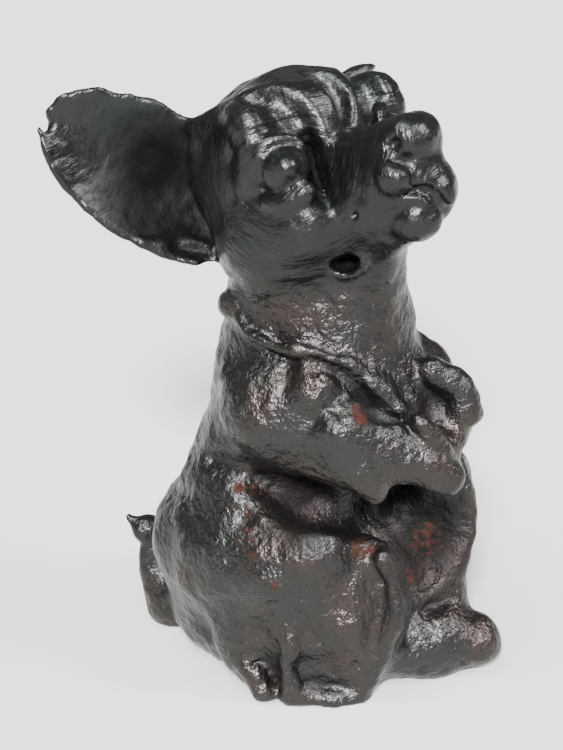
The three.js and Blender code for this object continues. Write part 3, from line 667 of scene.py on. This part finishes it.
def ramped(x, low, high):
    """0 below low, 1 above high, and 3t^2 - 2t^3 between."""
    t = np.clip((x - low) / (high - low), 0, 1)
    return t * t * (3 - 2 * t)


def combed(points, across, along):
    """Coordinates for hair in rings round the eyes, on the sides of the head: the distance from
    the line through both eyes over the hair's width, then forward and up over its length."""
    q = (points - BETWEEN_EYES) @ HEAD.T
    forward, up = q[:, 0] + 0.5, q[:, 2] + 0.4
    return np.stack([np.hypot(forward, up) / across, forward / along, up / along], 1)


print("the nearest seed lies", grains(trial, 0.8, 20).mean().round(2), "cells away on average")

# %% Relief of the worked surface
HEAD_FROM, HEAD_TO = 16.8, 18.6
THUMB, PAD, FINE, HAIR, PELLET, PIT = 0.13, 0.09, 0.035, 0.055, 0.13, 0.12


def head_share(points):
    """0 on the body, 1 on the head, and smoothly between along the neck."""
    return ramped(points[:, 2], HEAD_FROM, HEAD_TO)


def relief(points):
    """Height of the worked surface over the lumps, in parts, at points close to the skin.

    The head keeps a third of the swells and pits of the body, and it alone has the combed hair.
    Pellets rise where a seed is less than 0.45 of a cell away, in patches set by a slow swell."""
    head = head_share(points)
    body = 1 - head
    shared = 0.3 + 0.7 * body
    broad = THUMB * swell(points, 1.9, 1) * shared + PAD * swell(points, 0.9, 2) * body
    fine = FINE * swell(points, 0.4, 3)
    hair = HAIR * head * swell(combed(points, 0.42, 2.0), 1.0, 5)
    patches = ramped(swell(points, 2.5, 9), -0.5, 0.3)
    pellets = PELLET * body * (0.45 - np.minimum(grains(points, 0.8, 20), 0.8)) * patches
    pits = -PIT * np.clip(1 - grains(points, 0.75, 60) / 0.2, 0, 1) * shared
    return broad + fine + hair + pellets + pits


print("relief from", relief(trial).min().round(2), "to", relief(trial).max().round(2), "parts")

# %% Sample the clay finely
def sample(points):
    """Distance with relief, kept above a flat table: the larger of the distance and minus z."""
    clay = Clay(points)
    lay_figure(clay)
    near_skin = np.flatnonzero(np.abs(clay.value) < RELIEF_BAND * STEP)
    clay.value[near_skin] -= relief(points[near_skin])
    return np.maximum(clay.value, -points[:, 2])


grid_value = sample(LOW + grid_point * STEP)
print("points inside the clay:", int((grid_value < 0).sum()))

# %% [markdown]
# Drawing the skin
#
# The skin is what a viewer of the real figure sees, and it has no seams. A cell that the skin
# crosses gets its vertex at the mean of the crossings on its edges, so edges of rims stay fairly
# sharp while smeared joins stay soft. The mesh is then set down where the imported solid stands.
# Whatever stands out past the solid's box is cut off flat: 2 mm at the top of the head, and under
# 1 mm elsewhere.

# %% Surface nets: where the vertices lie
grid_key = (grid_point[:, 0] * grid_size[1] + grid_point[:, 1]) * grid_size[2] + grid_point[:, 2]
JUMP = np.array([grid_size[1] * grid_size[2], grid_size[2], 1])


def find(key):
    """Where each key stands in the sorted list of grid points, or -1 if it isn't there."""
    at = np.minimum(np.searchsorted(grid_key, key), len(grid_key) - 1)
    return np.where(grid_key[at] == key, at, -1)


def corner_offset(i):
    """The corner i of a cell, from 0 to 7, as steps of 0 or 1 along x, y and z."""
    return np.array([i & 1, i >> 1 & 1, i >> 2])


def net_vertices(value):
    """One vertex for each cell that the skin crosses, and which cell has which vertex.

    The vertex is the mean of the crossings of the cell's twelve edges, each found by a straight
    line between two values."""
    corners = np.stack([find(grid_key + corner_offset(i) @ JUMP) for i in range(8)], 1)
    whole = np.all(corners >= 0, axis=1)
    inside = value[corners] < 0
    crossed = np.flatnonzero(whole & inside.any(1) & ~inside.all(1))
    total = np.zeros((len(crossed), 3))
    number = np.zeros(len(crossed))
    for a in range(8):
        for axis in range(3):
            if a >> axis & 1:
                continue
            va, vb = value[corners[crossed, a]], value[corners[crossed, a | 1 << axis]]
            cut = (va < 0) != (vb < 0)
            t = np.where(cut, va / np.where(cut, va - vb, 1), 0)
            spot = corner_offset(a) + t[:, None] * LEVEL[axis]
            total += np.where(cut[:, None], spot, 0)
            number += cut
    vertex_of = np.full(len(grid_key), -1)
    vertex_of[crossed] = np.arange(len(crossed))
    return grid_point[crossed] + total / number[:, None], vertex_of


vertex, vertex_of = net_vertices(grid_value)
vertex = LOW + vertex * STEP
print("vertices:", len(vertex))

# %% Surface nets: the faces between them
def net_faces(value, vertex_of):
    """A four-sided face for each crossed edge of the grid, from the four cells round that edge,
    turned over where the clay lies at the edge's far end."""
    faces = []
    for axis in range(3):
        u, w = JUMP[(axis + 1) % 3], JUMP[(axis + 2) % 3]
        far = find(grid_key + JUMP[axis])
        edge = np.flatnonzero((far >= 0) & ((value < 0) != (value[far] < 0)))
        ring = [find(grid_key[edge] - back) for back in (0 * u, u, u + w, w)]
        ring = np.stack([np.where(r >= 0, vertex_of[r], -1) for r in ring], 1)
        kept = np.all(ring >= 0, axis=1)
        flip = value[edge[kept]] >= 0
        ring = ring[kept]
        ring[flip] = ring[flip][:, ::-1]
        faces.append(ring)
    return np.vstack(faces)


quads = net_faces(grid_value, vertex_of)
print("faces:", len(quads), " triangles:", 2 * len(quads))

# %% A mesh from arrays
def face_mesh(name, points, faces):
    """A mesh object at the origin with those vertices and four-sided faces."""
    mesh = bpy.data.meshes.new(name)
    mesh.vertices.add(len(points))
    mesh.vertices.foreach_set("co", points.astype(np.float32).ravel())
    mesh.loops.add(faces.size)
    mesh.loops.foreach_set("vertex_index", faces.astype(np.int32).ravel())
    mesh.polygons.add(len(faces))
    mesh.polygons.foreach_set("loop_start", np.arange(0, faces.size, 4, dtype=np.int32))
    mesh.update(calc_edges=True)
    mesh.polygons.foreach_set("use_smooth", np.ones(len(faces), bool))
    thing = bpy.data.objects.new(name, mesh)
    bpy.context.scene.collection.objects.link(thing)
    return thing


low, high = np.array(cad_box)
print("box to fill, metres:", np.round(high - low, 4))

# %% Place the skin in the solid's box
MIDDLE = np.array([(vertex[:, a].min() + vertex[:, a].max()) / 2 for a in (0, 1)] + [0.0])
SKIN_GAP = 0.00005
placed = (vertex - MIDDLE) * PART
print("skin before fitting, metres:", np.round(placed.min(0), 4), np.round(placed.max(0), 4))
placed = np.clip(placed, low + SKIN_GAP, high - SKIN_GAP)
piece = face_mesh("fired_clay_figure", placed, quads)
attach(piece, "root")
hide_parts("chihuahua_figure")
print("moved back by", np.round(MIDDLE, 3), "parts")

# %% [markdown]
# The worn coat
#
# The fired clay itself is a dusty red. The dark coat on it has the sheen of graphite: it shines on
# every bump, turns matt in deep hollows where no cloth reached, and is gone in a few scraped places.
# In the deep hollows, and under a few named marks, its colour is also darkened: that is painted
# shade. How much coat is left, how matt it is and how much painted shade it gets are worked out per
# vertex, from how hollow the clay is there and from a few named marks. Stored on the mesh, they need
# no picture maps.

# %% How hollow each place is
SMALL_ROUNDS, LARGE_ROUNDS = 3, 40


def smoothed(values, faces, rounds):
    """Values averaged over the corners of each face and back again, several times."""
    count = np.bincount(faces.ravel(), minlength=len(values))
    for _ in range(rounds):
        mean = values[faces].mean(axis=1)
        total = np.bincount(faces.ravel(), np.repeat(mean, 4), minlength=len(values))
        values = total / np.maximum(count, 1)
    return values


def hollowness(points, faces, normals, rounds):
    """How far the averaged neighbourhood lies out along the normal: more than 0 in a hollow."""
    mean = np.stack([smoothed(points[:, a], faces, rounds) for a in range(3)], 1)
    return ((mean - points) * normals).sum(1)


def vertex_normals(mesh):
    """The smoothed normal at each vertex."""
    flat = np.empty(len(mesh.vertices) * 3, np.float32)
    mesh.vertices.foreach_get("normal", flat)
    return flat.reshape(-1, 3).astype(float)


normals = vertex_normals(piece.data)
small = hollowness(vertex, quads, normals, SMALL_ROUNDS)
large = hollowness(vertex, quads, normals, LARGE_ROUNDS)
print("hollows from", large.min().round(2), "to", large.max().round(2), "parts")

# %% Worn places, and matt places with painted shade
FLANK = flank_axes(0)
SPOT_STRENGTH = 0.62
# How hollow the clay must be before the coat starts to turn matt and darkens as painted shade, and
# where that is complete.
DULL_AND_SHADE_FROM, DULL_AND_SHADE_TO = 0.08, 0.3
SCRAPES = [([-2.75, -4.4, 12.9], 0.75, 0.68), ([-2.2, -4.65, 12.65], 0.5, 0.62),
           ([-2.95, -4.6, 7.1], 1.1, 0.56), ([1.2, -5.0, 5.6], 1.5, 0.55),
           ([0.2, -4.8, 4.5], 0.8, 0.58), ([-4.1, 0.2, 8.4], 1.5, 0.49),
           ([-5.1, -0.7, 7.1], 1.3, 0.5), ([-5.35, -2.0, 5.8], 0.45, 0.58)]
SPOTS = [([-3.95, 0.75, 8.8], 0.4), ([-3.5, 1.0, 7.4], 0.2), ([-4.9, -1.2, 5.4], 0.2),
         ([-3.3, 2.0, 4.2], 0.16), ([-4.7, -2.6, 3.2], 0.16), ([-3.9, -1.4, 7.4], 0.1)]
# Marks where the coat is matt and its colour is darkened as painted shade: inside the right ear, in
# the torn fold on the chest, in the bowl of the left leg and under the right arm.
DULL_AND_SHADE_MARKS = [(on_head(-5.7, -4.4, 2.0), 2.2, 1.0), ([-1.9, -4.2, 12.9], 0.6, 1.0),
        ([1.2, -5.0, 5.6], 1.9, 0.9), ([-2.9, -1.6, 8.4], 1.3, 0.9)]


def near_marks(points, marks, depth):
    """How near each point lies to a mark of centre, size and strength: 1.4 less its distance over
    the size, where a step out of the flank counts for only 1 / depth of its length."""
    best = np.zeros(len(points))
    for centre, size, strength in marks:
        gap = (points - centre) @ FLANK.T / [size, size * depth, size]
        best = np.maximum(best, strength * np.clip(1.4 - np.linalg.norm(gap, axis=1), 0, 1))
    return best


spots = [(centre, size, SPOT_STRENGTH) for centre, size in SPOTS]
scraped = np.maximum(near_marks(vertex, SCRAPES, 1.5), near_marks(vertex, spots, 5))
# From 0 to 1: how matt the coat is, and how much painted shade darkens its colour, in hollows and
# under the marks.
dull_and_painted_shade = np.maximum(ramped(large, DULL_AND_SHADE_FROM, DULL_AND_SHADE_TO), near_marks(vertex, DULL_AND_SHADE_MARKS, 3))
print("scraped vertices:", int((scraped > 0.4).sum()), " dull ones:", int((dull_and_painted_shade > 0.5).sum()))

# %% Stored on the mesh
HOLLOW_SPAN = 0.06


def attribute(name, values):
    """Stores one number, or one vector, for each vertex of the piece."""
    kind, field = ("FLOAT", "value") if values.ndim == 1 else ("FLOAT_VECTOR", "vector")
    stored = piece.data.attributes.new(name, kind, "POINT")
    stored.data.foreach_set(field, values.astype(np.float32).ravel())


attribute("small_hollow", np.clip(0.5 + small / HOLLOW_SPAN, 0, 1))
# One stored number for both the matt coat and the painted shade in the hollows.
attribute("dull_and_painted_shade", dull_and_painted_shade)
attribute("scraped", scraped)
attribute("head", head_share(vertex))
attribute("hair_at", combed(vertex, 1.0, 4.5) * PART)
print("stored:", len(piece.data.attributes), "attributes")

# %% [markdown]
# Finish of the coat
#
# Graphite rubbed on clay is neither paint nor metal: it has almost no colour of its own and throws
# back the lamps in broken highlights. A nearly metallic shader with a very dark tint does that.
# Shaders are graphs of nodes, so a few small helpers come first, to keep each node to one line.

# %% Helpers for nodes
material = bpy.data.materials.new("fired clay, graphite coat")
material.use_nodes = True
tree = material.node_tree
tree.nodes.clear()
link = tree.links.new


def node(kind, x, y, **settings):
    """A node of that kind at x, y in the node editor."""
    made = tree.nodes.new(kind)
    made.location = (x, y)
    for name, value in settings.items():
        setattr(made, name, value)
    return made


def stored(name, y, output="Fac"):
    """What the mesh stores under that name."""
    return node("ShaderNodeAttribute", -1500, y, attribute_name=name).outputs[output]


def noise(x, y, scale, detail, rough, vector):
    made = node("ShaderNodeTexNoise", x, y)
    made.inputs["Scale"].default_value = scale
    made.inputs["Detail"].default_value = detail
    made.inputs["Roughness"].default_value = rough
    link(vector, made.inputs["Vector"])
    return made.outputs["Fac"]


def ramp(source, x, y, stops):
    """A colour ramp fed by source, with a stop for each (position, colour)."""
    made = node("ShaderNodeValToRGB", x, y)
    elements = made.color_ramp.elements
    while len(elements) < len(stops):
        elements.new(0.5)
    for element, (position, colour) in zip(elements, stops):
        element.position = position
        element.color = (*colour, 1)
    link(source, made.inputs[0])
    return made.outputs[0]


def math_node(operation, x, y, *sources):
    """A sum or product of numbers and outputs of nodes."""
    made = node("ShaderNodeMath", x, y, operation=operation)
    for socket, source in zip(made.inputs, sources):
        if isinstance(source, float):
            socket.default_value = source
        else:
            link(source, socket)
    return made.outputs[0]


where = node("ShaderNodeTexCoord", -1500, 0).outputs["Object"]
dull_and_shade_at = stored("dull_and_painted_shade", -150)
on_the_head = stored("head", 300)
print("nodes so far:", len(tree.nodes))

# %% Dark coat
METAL = 0.92
SHINIEST, ROUGHEST = 0.26, 0.44
# Share of its colour that the coat keeps where it is matt: painted shade in the hollows.
HOLLOW_SHADE = 0.3


def grey(v):
    return (v, v, v)


body_tint = ramp(noise(-1250, 200, 38, 4, 0.6, where), -1000, 200,
                 [(0.35, (0.028, 0.028, 0.027)), (0.5, (0.028, 0.027, 0.026)),
                  (0.68, (0.036, 0.029, 0.027))])
# The head's coat is tinted faintly green: a painted green reflection of the window overhead, and the
# noise varies the tone at random.
head_tint_green_reflection = ramp(noise(-1250, 450, 30, 4, 0.6, where), -1000, 450,
                 [(0.35, (0.022, 0.025, 0.023)), (0.65, (0.024, 0.022, 0.023))])
tint = node("ShaderNodeMix", -700, 300, data_type="RGBA")
link(on_the_head, tint.inputs["Factor"])
link(body_tint, tint.inputs["A"])
link(head_tint_green_reflection, tint.inputs["B"])
# The tint is darkened where the coat is matt, down to 0.3 of itself: painted shade in the hollows
# and under the named marks.
painted_shade_mix = node("ShaderNodeMix", -500, 300, data_type="RGBA", blend_type="MULTIPLY")
painted_shade_mix.inputs["Factor"].default_value = 1.0
link(tint.outputs["Result"], painted_shade_mix.inputs["A"])
link(ramp(dull_and_shade_at, -1000, 600, [(0.0, grey(1.0)), (1.0, grey(HOLLOW_SHADE))]), painted_shade_mix.inputs["B"])
shine = ramp(noise(-1250, -50, 420, 5, 0.7, where), -1000, -50,
             [(0.3, grey(SHINIEST)), (0.7, grey(ROUGHEST))])
coat = node("ShaderNodeBsdfPrincipled", -300, 200)
coat.inputs["Metallic"].default_value = METAL
link(painted_shade_mix.outputs["Result"], coat.inputs["Base Color"])
link(math_node("MULTIPLY_ADD", -700, 100, dull_and_shade_at, -0.6, 0.7), coat.inputs["Specular IOR Level"])
link(math_node("MULTIPLY_ADD", -700, -50, dull_and_shade_at, 0.45, shine), coat.inputs["Roughness"])
print("nodes with the coat:", len(tree.nodes))

# %% [markdown]
# Bare clay
#
# Where the coat is scraped off, the clay is a dusty red without any shine. The edge of such a place
# is ragged, because coat stays in the pores. So the stored wear is added to fine noise, and only
# where the sum is high does the second, matt shader take over.

# %% Bare clay and how it shows
BARE_FROM, BARE_TO = 0.8, 0.93
red = ramp(noise(-1250, -500, 260, 5, 0.65, where), -1000, -500,
           [(0.3, (0.012, 0.0048, 0.0036)), (0.7, (0.034, 0.011, 0.0075))])
bare = node("ShaderNodeBsdfPrincipled", -300, -300)
bare.inputs["Roughness"].default_value = 0.9
bare.inputs["Specular IOR Level"].default_value = 0.08
link(red, bare.inputs["Base Color"])
ragged = noise(-1250, -800, 330, 6, 0.75, where)
patchy = math_node("MULTIPLY_ADD", -1000, -800, ragged, 0.9, stored("scraped", -600))
worn = math_node("MULTIPLY_ADD", -800, -800, stored("small_hollow", -300), 0.12, patchy)
amount = ramp(math_node("SUBTRACT", -700, -950, worn, 0.2), -500, -800,
              [(BARE_FROM, grey(0)), (BARE_TO, grey(1))])
mix = node("ShaderNodeMixShader", 50, 0)
link(amount, mix.inputs[0])
link(coat.outputs[0], mix.inputs[1])
link(bare.outputs[0], mix.inputs[2])
print("nodes with the bare clay:", len(tree.nodes))

# %% [markdown]
# Grain of the surface
#
# The finest grit is too small for a mesh of this size, so a bump makes it: the shader tilts the
# surface as if noise had raised it by about a millimetre. On the head the noise is read at the
# combed coordinates, which draws it out into strokes of hair, and it is a little calmer there.

# %% Bump
HAIR_SCALE, GRIT_SCALE, COARSE_SCALE = 560, 380, 150
BUMP_STRENGTH, BUMP_HEIGHT = 0.9, 0.0011
hair = noise(-1250, -1100, HAIR_SCALE, 3, 0.6, stored("hair_at", -900, "Vector"))
grit = noise(-1250, -1300, GRIT_SCALE, 3, 0.55, where)
grain = node("ShaderNodeMix", -1000, -1200)
link(on_the_head, grain.inputs["Factor"])
link(grit, grain.inputs["A"])
link(hair, grain.inputs["B"])
coarse = noise(-1250, -1500, COARSE_SCALE, 3, 0.6, where)
rough = math_node("MULTIPLY_ADD", -1000, -1500, coarse, 1.0, grain.outputs["Result"])
calm = math_node("MULTIPLY_ADD", -1000, -1700, on_the_head, -0.3, 1.0)
bump = node("ShaderNodeBump", -650, -1100)
bump.inputs["Strength"].default_value = BUMP_STRENGTH
bump.inputs["Distance"].default_value = BUMP_HEIGHT
link(math_node("MULTIPLY", -800, -1200, rough, calm), bump.inputs["Height"])
link(bump.outputs[0], coat.inputs["Normal"])
link(bump.outputs[0], bare.inputs["Normal"])
out = node("ShaderNodeOutputMaterial", 300, 0)
link(mix.outputs[0], out.inputs["Surface"])
piece.data.materials.append(material)
print("nodes in all:", len(tree.nodes), " slots:", [m.name for m in piece.data.materials])

# %% [markdown]
# Table and light
#
# The figure stands on a pale table that runs back out of sight. A strong lamp stands beside the
# camera and a little above it, as a flash does. It puts the highlights on brow, eye, lip and knee,
# and its shadow falls behind the figure. A weaker one in front fills in, a greenish one overhead
# stands for a window, and the sky is a dim white. Far lamps light every part of the figure alike.

# %% Table
TABLE_REACH = 4.0


def plain_material(name, colour, roughness):
    material = bpy.data.materials.new(name)
    material.use_nodes = True
    shader = material.node_tree.nodes["Principled BSDF"]
    shader.inputs["Base Color"].default_value = (*colour, 1)
    shader.inputs["Roughness"].default_value = roughness
    return material


def table(reach):
    """A square that runs out so many metres each way from under the figure."""
    corner = np.array([[-1, -1, 0], [1, -1, 0], [1, 1, 0], [-1, 1, 0]]) * reach
    thing = face_mesh("table", corner, np.array([[0, 1, 2, 3]]))
    thing.data.materials.append(plain_material("pale table", (0.43, 0.445, 0.42), 0.8))
    return thing


table(TABLE_REACH)
print("table, metres:", 2 * TABLE_REACH)

# %% Lamps and sky
def away_from(azimuth, elevation):
    """A unit direction: azimuth 0 lies in front of the dog, and it grows towards the dog's left."""
    level = math.cos(elevation)
    return np.array([level * math.sin(azimuth), -level * math.cos(azimuth), math.sin(elevation)])


def lamp(name, azimuth, elevation, strength, spread, colour):
    """A far lamp at that azimuth and elevation, in degrees; spread is the angle that it fills."""
    light = bpy.data.lights.new(name, "SUN")
    light.energy, light.angle, light.color = strength, math.radians(spread), colour
    thing = bpy.data.objects.new(name, light)
    a, e = math.radians(azimuth), math.radians(elevation)
    thing.location = away_from(a, e) * 2
    thing.rotation_euler = (math.pi / 2 - e, 0, a)
    bpy.context.scene.collection.objects.link(thing)
    return thing


world = bpy.data.worlds.new("soft white")
world.use_nodes = True
sky = world.node_tree.nodes["Background"]
sky.inputs["Color"].default_value = (0.95, 0.98, 0.95, 1)
sky.inputs["Strength"].default_value = 0.3
bpy.context.scene.world = world
lamp("key", azimuth=-60, elevation=38, strength=18.0, spread=11, colour=(1, 0.95, 1))
lamp("side", azimuth=18, elevation=42, strength=4.8, spread=16, colour=(1, 0.98, 1))
lamp("window", azimuth=-110, elevation=70, strength=4.0, spread=24,
              colour=(0.85, 1, 0.93))

# %% [markdown]
# Camera
#
# The camera was held about 90 cm away, before the dog's right shoulder and looking down on it. The
# focal length is given in pixels of the photograph, and the lens is shifted a little, because the
# figure doesn't stand quite in the middle of the picture. A shift keeps the perspective as it is.

# %% Camera
PHOTO = np.array([563, 750])
LOOKS_AT = np.array([310, 385])
FOCAL = 2205
SENSOR = 36
AIM = np.array([0, 0, 12.0])
AZIMUTH, ELEVATION, AWAY = math.radians(-55), math.radians(24), 0.9


def camera():
    """A lens whose focal length is FOCAL photo pixels, aimed at the middle of the figure."""
    lens = bpy.data.cameras.new("camera")
    lens.sensor_width = SENSOR
    lens.lens = FOCAL * SENSOR / PHOTO[1]
    lens.shift_x = -(LOOKS_AT[0] - PHOTO[0] / 2) / PHOTO[1]
    lens.shift_y = (LOOKS_AT[1] - PHOTO[1] / 2) / PHOTO[1]
    thing = bpy.data.objects.new("camera", lens)
    thing.location = away_from(AZIMUTH, ELEVATION) * AWAY + (AIM - MIDDLE) * PART
    thing.rotation_euler = (math.pi / 2 - ELEVATION, 0, AZIMUTH)
    bpy.context.scene.collection.objects.link(thing)
    bpy.context.scene.camera = thing
    return thing


print("lens:", round(camera().data.lens, 2), "mm")
